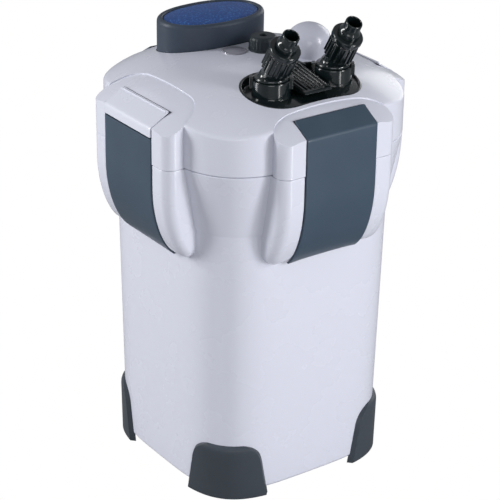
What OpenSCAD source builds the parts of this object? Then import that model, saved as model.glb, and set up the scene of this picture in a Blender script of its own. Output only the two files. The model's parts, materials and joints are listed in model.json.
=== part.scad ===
// External canister filter for an aquarium or pond: a rounded-square canister with three
// media baskets, a motor head held down by four clamps, a push primer and two hose unions.
// Millimetres, +Z up. The origin is on the floor under the middle of the canister.
// The front is -Y, where the hose unions lean out over the front clamp.

/* [Canister] */
// Half-width of the canister across its flats, at the bottom
body_low = 106.4; // [104:0.2:108]
// Half-width of the canister across its flats, under the collar
body_high = 110.8; // [109:0.2:112]
// Height of the canister's bottom above the floor
body_bottom = 7; // [5:1:9]
// Height of the collar's lower edge
collar_bottom = 280; // [276:1:284]
// Height of the seam between canister and head
seam = 342; // [340:1:344]
// Half-width of the head and of the collar's top edge
head_half = 123; // [121:0.5:125]
// Wall thickness of the canister
wall = 3.5; // [2.5:0.5:4]

/* [Head top] */
// Height of the domed top at its middle
dome_top = 407; // [404:1:409]
// Height of the domed top at a radius of dome_radius
dome_edge = 379; // [376:1:381]

/* [Clamps] */
// Distance from the middle to a clamp's outer face
clamp_face = 140; // [139:0.5:142]
// Half-width of a clamp
clamp_half = 39.4; // [36:0.2:39.6]
// Opening angle of the clamps as drawn, 0 is closed
clamp_angle = 0; // [0:5:95]

/* [Hose unions] */
// X of the middle of the valve block
valve_x = 3; // [0:1:5]
// Distance from the valve block's middle to each hose union
union_offset = 35; // [34:1:37]
// Lean of the hose nozzles towards the front, in degrees
nozzle_lean = 31; // [25:1:36]
// Outer radius of the hose nozzles at the mouth
nozzle_r = 8; // [7:0.5:9]

/* [Primer] */
// Half-length of the oval primer cap along X
primer_x = 56; // [50:1:57]
// Half-length of the oval primer cap along Y
primer_y = 36; // [32:1:36]

/* [Hidden] */
$fn = 64;
// Bay directions: the bay is drawn towards +Y and turned by these angles
to_back = 0;
to_left = 90;
to_front = 180;
to_right = 270;
squareness = 3.7;       // exponent of the rounded-square outline
corner_angles = [12, 18, 23, 27, 31, 35, 39, 43, 47, 51, 55, 59, 63, 67, 72, 78];
gap = 0.4;              // open seam between canister and head
collar_low = body_high + 1.8;
dome_radius = 143.8;
dome_power = 3;
skin = 3.2;             // thickness of the head cover
// Bay frame: two pillars beside each clamp, joined by an arch on the top
bay_half = 64;
bay_front = 138.6;
pocket_half = 40;
bay_corner = 11;        // outer front edge of a pillar, in plan
arch_side = 30;         // radius of the arch's back corners along the wall
curl_z = 320;           // below this height pillars and clamps curl inwards
curl_n = 43;
curl_h = 80;
pillar_bottom = 249;
clamp_bottom = 247;
arch_step = 1.1;        // the arch lies this far under the dome
slope = 0.594;          // fall of the clamp's top plate
plate_back = 119.8;
plate_front_z = 377.5;
plate = 3;
pivot_n = 122.5;
pivot_z = 382.4;
pin_r = 1.6;
barrel_r = 2.9;
run = 0.06;             // radial running clearance
cap_skin = 1.7;
cap_bottom = 368;
lug_bottom = 322;
// Valve block and hose unions
tray_y = -71;
tray_x_half = 61;
tray_y_half = 34;
tray_floor = 397.5;
union_y = -72;
union_x = [valve_x - union_offset + 1, valve_x + union_offset + 1];
ball_z = 385;
ball_r = 11;
shaft_r = 3;
socket_r = 17.5;
socket_bore = 13;
socket_top = 412.5;
bend_z = 413.5;
nut_start = 12.4;
nut_end = 40;
nozzle_end = 56;
lever_y = -46.5;
lever_z = 405.5;
lever_half = 16;
// Primer
primer = [2, 74];
primer_top = 430;
primer_skirt = 386;
well_floor = 364;
rod_r = 6;
cylinder_r = 21.5;
spring_r = 13;
// Electric parts
motor = [-48, 0];
uv = [52, -17];
lens_at = [-6, 22];
gland_at = [20, 12];
rotor_shaft_r = 2.5;
// Baskets
basket_half = 99;
basket_pitch = 76;
basket_first = 14;
basket_height = 74;
pipe_r = 15;
inlet_x = union_x[0];
outlet_x = union_x[1];

// Outlines and small helpers
// Rounded square: flat across the middle of each side, with its points round the corners
function squircle(h) = [for (i = [0:4 * len(corner_angles) - 1])
    let (a = 90 * floor(i / len(corner_angles)) + corner_angles[i % len(corner_angles)],
         c = cos(a), s = sin(a),
         r = h / pow(pow(abs(c), squareness) + pow(abs(s), squareness), 1 / squareness))
    [r * c, r * s]];
function arc(cx, cy, rx, ry, a0, a1, m = 8) = [for (i = [0:m])
    let (a = a0 + (a1 - a0) * i / m) [cx + rx * cos(a), cy + ry * sin(a)]];
function dome_z(r) = dome_top - (dome_top - dome_edge) * pow(r / dome_radius, dome_power);
function curl(z) = z >= curl_z ? 0 : curl_n * (1 - sqrt(1 - pow((curl_z - z) / curl_h, 2)));
function curl_points(face, low, m = 14) = [for (i = [0:m])
    let (z = low + (curl_z - low) * i / m) [face - curl(z), z]];
function reversed(p) = [for (i = [len(p) - 1:-1:0]) p[i]];

module prism(h, z0, z1) translate([0, 0, z0]) linear_extrude(z1 - z0) polygon(squircle(h));
module taper(h0, h1, z0, z1)
    translate([0, 0, z0]) linear_extrude(z1 - z0, scale = h1 / h0) polygon(squircle(h0));
module across(half) rotate([90, 0, 90]) translate([0, 0, -half]) linear_extrude(2 * half) children();
module bay(a) rotate(a) children();
module rod_x(r, half, n, z) translate([-half, n, z]) rotate([0, 90, 0]) cylinder(h = 2 * half, r = r);
module tube(r1, r2, h) difference() {
    cylinder(h = h, r = r1);
    translate([0, 0, -1]) cylinder(h = h + 2, r = r2);
}
module stadium(hx, hy) {
    square([2 * (hx - hy), 2 * hy], center = true);
    for (s = [-1, 1]) translate([s * (hx - hy), 0]) circle(r = hy);
}
// A superellipse oval, softer than a stadium
module oval(hx, hy, n = 72) polygon([for (i = [0:n - 1]) let (a = 360 * i / n)
    [hx * sign(cos(a)) * pow(abs(cos(a)), 0.86), hy * sign(sin(a)) * pow(abs(sin(a)), 0.86)]]);

// Everything under the domed top, lowered by drop
module dome(drop = 0) rotate_extrude() polygon(concat([[0, seam]],
    [[dome_radius + 20, seam]],
    [for (i = [14:-1:0]) let (r = (dome_radius + 20) * i / 14) [r, dome_z(r) - drop]]));

// Clamp bays: plan outline of the frame and its side profile
function arch_back(a) = a == to_front ? 109 : a == to_back ? 113 : 94;
function bay_plan(back, grow = 0) = let (half = bay_half + grow, deep = 125 - back) concat(
    arc(half - bay_corner, bay_front - bay_corner, bay_corner, bay_corner, 0, 90),
    arc(bay_corner - half, bay_front - bay_corner, bay_corner, bay_corner, 90, 180),
    arc(arch_side - half, back - grow + deep, arch_side, deep, 180, 270),
    arc(half - arch_side, back - grow + deep, arch_side, deep, 270, 360));
module bay_frame(a) intersection() {
    translate([0, 0, pillar_bottom]) linear_extrude(160) polygon(bay_plan(arch_back(a)));
    across(80) polygon(concat(curl_points(bay_front, pillar_bottom),
        [[bay_front, plate_front_z - 0.6], [plate_back - 0.5, plate_front_z + slope * 19 + 1.6],
         [arch_back(a), dome_z(arch_back(a)) - arch_step], [80, 385], [80, pillar_bottom]]));
}
// Rounded lower ends of the two pillars, seen from the front
module pillar_shape() rotate([90, 0, 0]) translate([0, 0, -150]) linear_extrude(150)
    for (s = [-1, 1]) polygon(concat([[s * (bay_half + 2), 400]], [[s * pocket_half, 400]],
        [for (q = arc((bay_half + pocket_half + 2) / 2, pillar_bottom + 12,
            (bay_half - pocket_half + 2) / 2, 12, 180, 360, 12)) [s * q[0], q[1]]]));

module canister() color("gainsboro") difference() {
    union() {
        taper(body_low, body_high, body_bottom, collar_bottom + 1);
        taper(collar_low, head_half, collar_bottom, seam);
        for (a = [to_back, to_left, to_front, to_right]) bay(a) {
            intersection() {
                bay_frame(a);
                pillar_shape();
                translate([-80, 95, 200]) cube([160, 60, seam - 200]);
            }
            translate([-22, 112, lug_bottom]) cube([44, 17, 8]);
        }
    }
    taper(body_low - wall, body_high - wall - 0.3, body_bottom + 4, collar_bottom + 3);
    taper(collar_low - wall - 0.6, head_half - wall - 1, collar_bottom + 2, seam - 5);
    prism(105, seam - 6, seam + 1);
}

// One corner foot, drawn on the +X diagonal and turned by a
module foot(a) color("dimgray") rotate(a) intersection() {
    rotate(-45) union() {
        difference() {
            taper(body_low + 3.6, body_low + 4.6, 0, 58);
            taper(body_low + 0.1, body_low + 1.1, body_bottom, 60);
            translate([0, 0, -1]) prism(88, 0, body_bottom + 2);
        }
    }
    translate([90, 0, 0]) rotate([90, 0, 90]) linear_extrude(60)
        polygon([[-39, 0], [39, 0], [33, 44], [26, 53], [14, 58], [-14, 58], [-26, 53], [-33, 44]]);
}
module foot_front() foot(225);
module foot_right() foot(315);
module foot_back() foot(45);
module foot_left() foot(135);

module canister_seal() color("black") difference() {
    prism(109.5, seam, seam + 2.6);
    prism(106.5, seam - 1, seam + 4);
}

module head_cover() color("white") difference() {
    union() {
        difference() {
            intersection() { prism(head_half, seam + gap, dome_top + 1); dome(); }
            for (a = [to_back, to_left, to_front, to_right]) bay(a)
                translate([0, 0, seam]) linear_extrude(80) polygon(bay_plan(arch_back(a)));
        }
        for (a = [to_back, to_left, to_front, to_right]) bay(a) intersection() {
            bay_frame(a);
            translate([-80, 60, seam + gap]) cube([160, 100, 80]);
            dome(1.1);
        }
    }
    head_cavity();
    for (a = [to_back, to_left, to_front, to_right]) bay(a) clamp_pocket();
    translate([valve_x, tray_y, 370]) linear_extrude(60) stadium(tray_x_half + 0.3, tray_y_half + 0.3);
    translate([uv[0], uv[1], 380]) cylinder(h = 40, r = 15);
    translate([uv[0], uv[1], 402.4]) cylinder(h = 20, r = 20.9);
    translate([lens_at[0], lens_at[1], 380]) cylinder(h = 40, r = 10);
    translate([gland_at[0], gland_at[1], 380]) cylinder(h = 40, r = 9);
    translate([primer[0], primer[1], well_floor + 2]) linear_extrude(60) oval(primer_x + 0.5, primer_y + 0.5);
    translate([primer[0], primer[1], well_floor - 1]) cylinder(h = 5, r = rod_r + 0.4);
}
// Hollow of the head cover, which leaves the bays and the primer's well standing
module head_cavity() difference() {
    intersection() { prism(head_half - skin, seam, dome_top); dome(skin); }
    for (a = [to_back, to_left, to_front, to_right]) bay(a) {
        translate([-68, 111.6, seam - 1]) cube([136, 60, 90]);
        translate([0, 0, 386]) linear_extrude(40) polygon(bay_plan(arch_back(a), 3));
    }
    translate([primer[0], primer[1], well_floor]) linear_extrude(60) oval(primer_x + 2.5, primer_y + 2.3);
    translate([uv[0], uv[1], 398]) cylinder(h = 20, r = 23.5);
}
// Room for a clamp between its pillars, with the swept circle of its back edge
module clamp_pocket() {
    translate([-pocket_half, head_half, seam - 1]) cube([2 * pocket_half, 30, 60]);
    translate([-pocket_half, plate_back - 0.4, pivot_z]) cube([2 * pocket_half, 30, 30]);
    rod_x(7.9, pocket_half, pivot_n, pivot_z);
    rod_x(pin_r, 46, pivot_n, pivot_z);
}

module head_base() color("lightgray") difference() {
    union() {
        prism(110.8, seam + 0.6, seam + 6);
        difference() {
            prism(104, seam - 12, seam + 2);
            prism(101, seam - 13, seam + 0.6);
        }
        translate([motor[0], motor[1], seam - 24]) cylinder(h = 26, r = 33);
    }
    difference() { prism(109.6, seam, seam + 2.6); prism(106.4, seam - 1, seam + 4); }
    translate([motor[0], motor[1], seam - 25]) cylinder(h = 24, r = 29);
    translate([motor[0], motor[1], seam - 25]) cylinder(h = 40, r = 14.5);
    rotate_to_outlet() translate([0, 0, 24]) cylinder(h = 20, r = 8.5);
    translate([inlet_x, union_y, seam - 1]) cylinder(h = 10, r = pipe_r + 0.3);
    translate([outlet_x, union_y, seam - 1]) cylinder(h = 10, r = 10.3);
    translate([uv[0], uv[1], seam - 1]) cylinder(h = 10, r = 12.3);
    translate([primer[0], primer[1], seam - 1]) cylinder(h = 10, r = cylinder_r + 2.8);
}
// Turns +Z into the level line from the pump's middle to the outlet riser
module rotate_to_outlet() translate([motor[0], motor[1], seam - 13])
    rotate([0, 90, atan2(union_y - motor[1], outlet_x - motor[0])]) children();

// Four screws that hold the motor housing to the head base
module head_screws() color("silver") for (a = [45:90:315])
    translate([motor[0], motor[1], seam + 6]) rotate(a) translate([44, 0, 0]) {
        translate([0, 0, 4]) cylinder(h = 3, r = 4);
        cylinder(h = 4.5, r = 2);
    }

// Outer face line of a clamp: its curled front and its sloping top plate
module clamp_band(inset, low, face_inset = 0) let (f = clamp_face - face_inset) across(clamp_half)
    polygon(concat(curl_points(f, low), [[f, plate_front_z - face_inset * 0.6],
        [plate_back, plate_front_z + slope * (clamp_face - plate_back) - face_inset * 1.16],
        [plate_back, plate_front_z + slope * (clamp_face - plate_back) - inset * 1.16],
        [clamp_face - inset, plate_front_z - inset * 0.6]],
        reversed(curl_points(clamp_face - inset, low))));
module clamp(capped) difference() {
    union() {
        difference() {
            clamp_band(plate, clamp_bottom);
            if (capped) translate([-50, 110, cap_bottom - 0.7]) cube([100, 50, 40]);
        }
        if (capped) intersection() {
            clamp_band(plate, clamp_bottom, cap_skin + 0.05);
            translate([-50, 110, cap_bottom - 1]) cube([100, 50, 40]);
        }
        for (s = [-1, 1]) translate([s * (clamp_half - 1.3), 0, 0]) across(1.3)
            polygon(concat([[120.5, 262]], [for (p = curl_points(clamp_face - 2, 262, 6)) p],
                [[clamp_face - 2, 374], [128, 374], [128, 310]]));
        for (s = [-1, 1]) translate([s * 32.6, 0, 0]) rod_x(barrel_r, 6.6, pivot_n, pivot_z);
        translate([-20, 123.5, lug_bottom - 8.6]) cube([40, clamp_face - 125.5, 8]);
    }
    rod_x(pin_r + run, 50, pivot_n, pivot_z);
}
module turned_clamp(a, capped) color("darkslategray") bay(a)
    translate([0, pivot_n, pivot_z]) rotate([clamp_angle, 0, 0]) translate([0, -pivot_n, -pivot_z])
        clamp(capped);
module clamp_front() turned_clamp(to_front, false);
module clamp_back() turned_clamp(to_back, false);
module clamp_left() turned_clamp(to_left, true);
module clamp_right() turned_clamp(to_right, true);
module clamp_cap(a) color("whitesmoke") bay(a) intersection() {
    clamp_band(cap_skin, clamp_bottom);
    translate([-50, 110, cap_bottom]) cube([100, 50, 40]);
}
module clamp_cap_left() clamp_cap(to_left);
module clamp_cap_right() clamp_cap(to_right);
module clamp_pins() color("silver") for (a = [to_back, to_left, to_front, to_right])
    bay(a) rod_x(pin_r, 46, pivot_n, pivot_z);

// Valve block: a tray in the head with two ball chambers below
module valve_tray() color("darkslategray") difference() {
    union() {
        intersection() {
            translate([valve_x, tray_y, 392]) linear_extrude(20) stadium(tray_x_half, tray_y_half);
            dome(0.2);
        }
        for (x = union_x) translate([x, union_y, 372]) cylinder(h = 21, r = 18);
        for (s = [-1, 1]) translate([valve_x + s * (lever_half + 2.5) - 1.5, lever_y - 6, 396])
            cube([3, 12, lever_z - 396]);
        for (s = [-1, 1]) translate([valve_x + s * (lever_half + 2.5), 0, 0])
            rod_x(6, 1.5, lever_y, lever_z);
    }
    difference() {
        translate([valve_x, tray_y, tray_floor]) linear_extrude(20)
            stadium(tray_x_half - 2.5, tray_y_half - 2.5);
        for (s = [-1, 1]) translate([valve_x + s * (lever_half + 2.5) - 1.5, lever_y - 6, 396])
            cube([3, 12, lever_z - 396]);
        for (s = [-1, 1]) translate([valve_x + s * (lever_half + 2.5), 0, 0])
            rod_x(6, 1.5, lever_y, lever_z);
    }
    for (x = union_x) translate([x, union_y, 0]) {
        translate([0, 0, ball_z]) sphere(r = ball_r + 0.2);
        translate([0, 0, 370]) cylinder(h = 40, r = 8);
    }
    translate([valve_x, 0, 0]) rod_x(shaft_r + run, union_offset + 25, union_y, ball_z);
    translate([valve_x, 0, 0]) rod_x(2.5 + run, lever_half + 5, lever_y, lever_z);
}
// Ribbed shut-off lever, hinged at its back edge
module valve_lever() color("darkslategray") translate([valve_x, 0, 0]) {
    rod_x(6, lever_half, lever_y, lever_z);
    rod_x(2.5, lever_half + 4, lever_y, lever_z);
    difference() {
        across(lever_half - 1) polygon([[lever_y, lever_z + 6], [lever_y, lever_z - 4],
            [-97, 400], [-99, 401.5], [-97, 403.5]]);
        rod_x(2, 60, -97, 395);
    }
    for (i = [-3:3]) translate([i * 4.6, 0, 0]) across(0.9)
        polygon([[lever_y, lever_z + 7.5], [lever_y, lever_z], [-92, 402], [-94, 405]]);
}
module valve_shaft() color("silver") translate([valve_x, 0, 0])
    difference() {
        rod_x(shaft_r, union_offset + 19, union_y, ball_z);
        for (x = union_x) translate([x - valve_x, union_y, ball_z - 20]) cylinder(h = 40, r = 7.5);
    }
module valve_ball(x) color("ivory") difference() {
    translate([x, union_y, ball_z]) sphere(r = ball_r);
    translate([x, union_y, ball_z - 20]) cylinder(h = 40, r = 7.5);
    translate([x, 0, 0]) rod_x(shaft_r, 20, union_y, ball_z);
}
module inlet_ball() valve_ball(inlet_x);
module outlet_ball() valve_ball(outlet_x);

// Sockets that the unions plug into, with two catch lugs each
module union_socket(x) color("darkslategray") translate([x, union_y, tray_floor]) difference() {
    union() {
        cylinder(h = socket_top - tray_floor, r = socket_r);
        for (a = [145, 325]) rotate(a) translate([16.4, -3.5, 7]) cube([3.2, 7, 10.5]);
    }
    translate([0, 0, -1]) cylinder(h = 30, r = socket_bore);
}
module inlet_socket() union_socket(inlet_x);
module outlet_socket() union_socket(outlet_x);

// Union parts are drawn along +Z from the bend's middle, then leaned over
module leaned(x) translate([x, union_y, bend_z]) rotate([nozzle_lean, 0, 0]) children();
module elbow(x) color("darkslategray") difference() {
    union() {
        difference() {
            translate([x, union_y, tray_floor + 2]) cylinder(h = 13.4, r = socket_bore - run);
            translate([x, union_y, tray_floor + 5]) tube(14, 12, 3);
        }
        translate([x, union_y, socket_top + 0.4]) cylinder(h = 2.2, r = 16);
        translate([x, union_y, bend_z]) sphere(r = 12.6);
        leaned(x) cylinder(h = nut_end - 1.6, r = 10.6);
    }
    translate([x, union_y, tray_floor]) cylinder(h = bend_z - tray_floor, r = 8);
    translate([x, union_y, bend_z]) sphere(r = 8);
    leaned(x) cylinder(h = 50, r = 8);
}
module inlet_elbow() elbow(inlet_x);
module outlet_elbow() elbow(outlet_x);
module elbow_seal(x) color("black") translate([x, union_y, tray_floor + 5]) tube(socket_bore - run, 12, 3);
module inlet_elbow_seal() elbow_seal(inlet_x);
module outlet_elbow_seal() elbow_seal(outlet_x);
module lock_nut(x) color("darkslategray") leaned(x) difference() {
    union() {
        translate([0, 0, nut_start]) cylinder(h = 23, r = 12.8);
        translate([0, 0, nut_end - 6]) cylinder(h = 6, r = 14.6);
        for (a = [10:20:350]) rotate(a) translate([11.5, -0.8, nut_start + 0.8]) cube([2.9, 1.6, 20]);
    }
    translate([0, 0, nut_start - 1]) cylinder(h = nut_end - nut_start - 0.2, r = 10.6 + 0.08);
    translate([0, 0, nut_start]) cylinder(h = 40, r = 9.9);
}
module inlet_lock_nut() lock_nut(inlet_x);
module outlet_lock_nut() lock_nut(outlet_x);
module nozzle(x) color("darkslategray") leaned(x) difference() {
    union() {
        translate([0, 0, nut_end - 1.55]) cylinder(h = 0.3, r = 10.4);
        translate([0, 0, nut_end - 1.5]) cylinder(h = 7, r = 9.8);
        translate([0, 0, nut_end + 5.4]) cylinder(h = 4, r1 = 9.8, r2 = nozzle_r);
        translate([0, 0, nut_end + 9]) cylinder(h = nozzle_end - nut_end - 9, r = nozzle_r);
    }
    translate([0, 0, 30]) cylinder(h = 40, r = 6.4);
}
module inlet_nozzle() nozzle(inlet_x);
module outlet_nozzle() nozzle(outlet_x);

// Primer: a push cap on a rod and piston, lifted by a spring
module prime_cap() color("darkslategray") translate([primer[0], primer[1], 0]) difference() {
    union() {
        translate([0, 0, primer_skirt]) linear_extrude(primer_top - 2 - primer_skirt) oval(primer_x, primer_y);
        translate([0, 0, primer_top - 2]) linear_extrude(2) oval(primer_x - 1.6, primer_y - 1.6);
    }
    translate([0, 0, primer_top - 4]) linear_extrude(6) oval(primer_x - 6, primer_y - 6);
    translate([0, 0, primer_skirt - 1]) linear_extrude(19) oval(primer_x - 3, primer_y - 3);
    translate([0, 0, primer_skirt - 1]) cylinder(h = 27, r = rod_r);
}
module prime_pad() color("royalblue") translate([primer[0], primer[1], primer_top - 4])
    {
        linear_extrude(3.4) oval(primer_x - 6.2, primer_y - 6.2);
        linear_extrude(4.6) oval(primer_x - 14, primer_y - 14);
        linear_extrude(5.4) oval(primer_x - 26, primer_y - 22);
    }
module prime_rod() color("lightgray") translate([primer[0], primer[1], 0]) {
    translate([0, 0, 352]) cylinder(h = 60, r = rod_r);
    difference() {
        translate([0, 0, 344]) cylinder(h = 8, r = cylinder_r - 0.3);
        translate([0, 0, 346.5]) tube(24, 19, 3);
    }
}
module piston_seal() color("black") translate([primer[0], primer[1], 346.5]) tube(cylinder_r - 0.05, 19, 3);
module prime_cylinder() color("lightgray") translate([primer[0], primer[1], 0]) difference() {
    translate([0, 0, 306]) cylinder(h = 56, r = cylinder_r + 2.5);
    translate([0, 0, 309]) cylinder(h = 60, r = cylinder_r);
    translate([0, 0, 300]) cylinder(h = 60, r = 8);
}
module check_valve() color("dimgray") translate([primer[0], primer[1], 309]) {
    cylinder(h = 1.5, r = 12);
    translate([0, 0, -4]) cylinder(h = 5, r = 2);
}
// Return spring: a wire swept along a helix between the well's floor and the cap
module prime_spring() color("silver") translate([primer[0], primer[1], 0]) {
    turns = 5;
    steps = 12;
    sides = 6;
    wire = 1.1;
    low = well_floor + 2 + wire + 0.1;
    high = primer_skirt + 18 - wire - 0.2;
    rings = turns * steps;
    points = [for (i = [0:rings]) let (a = 360 * i / steps) for (j = [0:sides - 1])
        let (b = 360 * j / sides, r = spring_r + wire * cos(b))
        [r * cos(a), r * sin(a), low + (high - low) * i / rings + wire * sin(b)]];
    side_faces = [for (i = [0:rings - 1]) for (j = [0:sides - 1]) let (k = (j + 1) % sides)
        [i * sides + j, (i + 1) * sides + j, (i + 1) * sides + k, i * sides + k]];
    ends = [[for (j = [0:sides - 1]) j], [for (j = [sides - 1:-1:0]) rings * sides + j]];
    polyhedron(points, concat(side_faces, ends));
}

// Ultraviolet clearer: a lamp in a quartz sleeve under a removable cap
module uv_cap() color("gainsboro") translate([uv[0], uv[1], 0]) difference() {
    union() {
        translate([0, 0, 402.5]) cylinder(h = 18.5, r = 20.6);
        translate([0, 0, 421]) cylinder(h = 6, r1 = 20.6, r2 = 18.4);
        intersection() {
            translate([0, 0, 412]) sphere(r = 23.6);
            translate([0, 0, 427]) cylinder(h = 20, r = 18.2);
        }
        translate([0, 0, 392]) cylinder(h = 12, r = 14.8);
    }
    translate([0, 0, 391]) cylinder(h = 35, r = 12.6);
}
module uv_lamp_base() color("whitesmoke") translate([uv[0], uv[1], 388]) cylinder(h = 24, r = 12.4);
module quartz_sleeve() color("lightcyan") translate([uv[0], uv[1], 262]) difference() {
    cylinder(h = 126, r = 12);
    translate([0, 0, 2]) cylinder(h = 130, r = 10.6);
}
module uv_lamp() color("white") translate([uv[0], uv[1], 0]) {
    for (s = [-1, 1]) translate([s * 4.7, 0, 272]) cylinder(h = 108, r = 4);
    translate([-4.7, -3, 272]) cube([9.4, 6, 8]);
    translate([0, 0, 378]) cylinder(h = 10, r = 10);
}
module indicator_lens() color("gray") translate([lens_at[0], lens_at[1], 0]) {
    translate([0, 0, 400]) cylinder(h = 7.1, r = 9.8);
    translate([0, 0, 407.05]) cylinder(h = 0.9, r = 12);
}
module cord_gland() color("dimgray") translate([gland_at[0], gland_at[1], 0]) difference() {
    union() {
        translate([0, 0, 398]) cylinder(h = 9.2, r = 8.8);
        translate([0, 0, 407.1]) cylinder(h = 12, r = 14);
        translate([0, 0, 419.1]) cylinder(h = 2, r1 = 14, r2 = 12);
    }
    translate([0, 0, 397]) cylinder(h = 30, r = 3.6);
}

// Pump: canned motor, magnet rotor on a fixed ceramic shaft, impeller below
module motor_housing() color("dimgray") translate([motor[0], motor[1], seam + 6]) difference() {
    union() {
        cylinder(h = 44, r = 37);
        for (a = [45:90:315]) rotate(a) translate([30, -6, 0]) cube([20, 12, 4]);
    }
    translate([0, 0, 4]) tube(34.5, 17.5, 37);
    translate([0, 0, -1]) cylinder(h = 40, r = 14.5);
    for (a = [45:90:315]) rotate(a) translate([44, 0, -1]) cylinder(h = 6, r = 2);
}
module stator() color("peru") translate([motor[0], motor[1], seam + 12]) tube(34, 18, 32);
module rotor_magnet() color("black") translate([motor[0], motor[1], seam - 2]) difference() {
    cylinder(h = 40, r = 13.4);
    translate([0, 0, -1]) cylinder(h = 50, r = rotor_shaft_r + run);
}
module impeller() color("whitesmoke") translate([motor[0], motor[1], seam - 20]) difference() {
    union() {
        cylinder(h = 17.9, r = 7);
        translate([0, 0, 15]) cylinder(h = 2.9, r = 13);
        for (a = [0:60:300]) rotate(a) translate([5, -1, 2]) cube([18, 2, 14]);
    }
    translate([0, 0, -1]) cylinder(h = 50, r = rotor_shaft_r + run);
}
module rotor_shaft() color("white") translate([motor[0], motor[1], seam - 26]) cylinder(h = 67, r = rotor_shaft_r);
module shaft_bushes() color("black") translate([motor[0], motor[1], 0]) {
    translate([0, 0, seam + 39]) tube(6, rotor_shaft_r, 5.9);
    translate([0, 0, seam - 28]) tube(5, rotor_shaft_r, 5.5);
}
module impeller_cover() color("lightgray") translate([motor[0], motor[1], seam - 28]) difference() {
    cylinder(h = 3.9, r = 33);
    translate([0, 0, -1]) difference() {
        cylinder(h = 10, r = 12);
        for (a = [0, 120, 240]) rotate(a) translate([0, -1.5, 0]) cube([14, 3, 10]);
    }
    translate([0, 0, -1]) cylinder(h = 10, r = 5);
}
module intake_pipe() color("dimgray") translate([inlet_x, union_y, 20]) tube(pipe_r, pipe_r - 2, 351.7);
// Outlet duct: a level run from the pump chamber and a riser to the outlet valve
module outlet_duct() color("dimgray") difference() {
    union() {
        rotate_to_outlet() translate([0, 0, 33.5]) cylinder(h = 79, r = 10);
        translate([outlet_x, union_y, seam - 23]) cylinder(h = 52.7, r = 10);
    }
    rotate_to_outlet() translate([0, 0, 33]) cylinder(h = 79, r = 8);
    translate([outlet_x, union_y, seam - 21]) cylinder(h = 60, r = 8);
}

// Media baskets: open boxes with a slotted floor, stacked round the intake pipe
module basket(i) color("dimgray") let (z = basket_first + i * basket_pitch) difference() {
    union() {
        difference() {
            prism(basket_half, z, z + basket_height);
            prism(basket_half - 2.4, z + 2.5, z + basket_height + 1);
        }
        translate([inlet_x, union_y, z]) cylinder(h = basket_height, r = pipe_r + 3);
    }
    translate([inlet_x, union_y, z - 1]) cylinder(h = basket_height + 2, r = pipe_r + 0.5);
    for (x = [-60:20:80]) translate([x - 2, -30, z - 1]) cube([4, 105, 5]);
}
module basket_top() basket(2);
module basket_middle() basket(1);
module basket_bottom() basket(0);
module media(i) let (z = basket_first + i * basket_pitch + 2.8) difference() {
    prism(basket_half - 3, z, z + basket_height - 10);
    translate([inlet_x, union_y, z - 1]) cylinder(h = basket_height, r = pipe_r + 4);
}
module media_top() color("white") media(2);
module media_middle() color("rosybrown") media(1);
module media_bottom() color("steelblue") media(0);

canister();
foot_front();
foot_right();
foot_back();
foot_left();
canister_seal();
head_cover();
head_base();
head_screws();
clamp_front();
clamp_back();
clamp_left();
clamp_right();
clamp_cap_left();
clamp_cap_right();
clamp_pins();
valve_tray();
valve_lever();
valve_shaft();
inlet_ball();
outlet_ball();
inlet_socket();
outlet_socket();
inlet_elbow();
outlet_elbow();
inlet_elbow_seal();
outlet_elbow_seal();
inlet_lock_nut();
outlet_lock_nut();
inlet_nozzle();
outlet_nozzle();
prime_cap();
prime_pad();
prime_rod();
piston_seal();
prime_cylinder();
prime_spring();
check_valve();
uv_cap();
uv_lamp_base();
uv_lamp();
quartz_sleeve();
indicator_lens();
cord_gland();
motor_housing();
stator();
rotor_magnet();
impeller();
rotor_shaft();
shaft_bushes();
impeller_cover();
intake_pipe();
outlet_duct();
basket_top();
basket_middle();
basket_bottom();
media_top();
media_middle();
media_bottom();
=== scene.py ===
import json
import logging
from dataclasses import dataclass, field
from enum import Enum
from math import asin, copysign, cos, hypot, pi, radians, sin, sqrt
from typing import Callable, Iterable, Sequence

import bmesh
import bpy
from mathutils import Matrix, Vector


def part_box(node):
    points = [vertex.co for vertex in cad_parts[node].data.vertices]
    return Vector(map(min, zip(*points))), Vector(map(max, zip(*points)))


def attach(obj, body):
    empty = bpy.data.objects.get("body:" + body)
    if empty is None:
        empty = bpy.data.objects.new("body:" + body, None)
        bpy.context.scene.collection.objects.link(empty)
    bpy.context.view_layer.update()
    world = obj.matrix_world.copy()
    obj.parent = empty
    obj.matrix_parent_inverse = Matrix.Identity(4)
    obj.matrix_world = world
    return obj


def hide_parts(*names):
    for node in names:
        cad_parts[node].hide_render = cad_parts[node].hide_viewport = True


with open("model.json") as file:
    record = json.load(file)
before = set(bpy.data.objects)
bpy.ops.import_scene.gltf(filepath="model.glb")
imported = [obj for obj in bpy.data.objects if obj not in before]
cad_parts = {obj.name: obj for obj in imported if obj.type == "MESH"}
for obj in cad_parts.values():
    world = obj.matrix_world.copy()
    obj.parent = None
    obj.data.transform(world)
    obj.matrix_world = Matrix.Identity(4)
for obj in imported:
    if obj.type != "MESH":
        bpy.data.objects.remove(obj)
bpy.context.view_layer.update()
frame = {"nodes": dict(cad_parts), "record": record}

LOG = logging.getLogger("canister_filter")
MM = 0.001
TAU = 2 * pi
ALONG_X = Matrix.Rotation(pi / 2, 4, "Y")
BUMP_HEIGHT = 0.0006
Colour = tuple[float, float, float]
Points = list[Vector]
Solid = bmesh.types.BMesh
Node, Tree, Socket = bpy.types.Node, bpy.types.NodeTree, bpy.types.NodeSocket
Value = Socket | float
DUST: Colour = (0.62, 0.61, 0.59)


# ---- places read from the frame
def low(node: str) -> Vector:
    """Lowest corner of a CAD node, in millimetres."""
    return Vector(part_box(node)[0]) / MM


def high(node: str) -> Vector:
    """Highest corner of a CAD node, in millimetres."""
    return Vector(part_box(node)[1]) / MM


def middle(node: str) -> Vector:
    """Middle of a CAD node's box, in millimetres."""
    return (low(node) + high(node)) / 2


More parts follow.
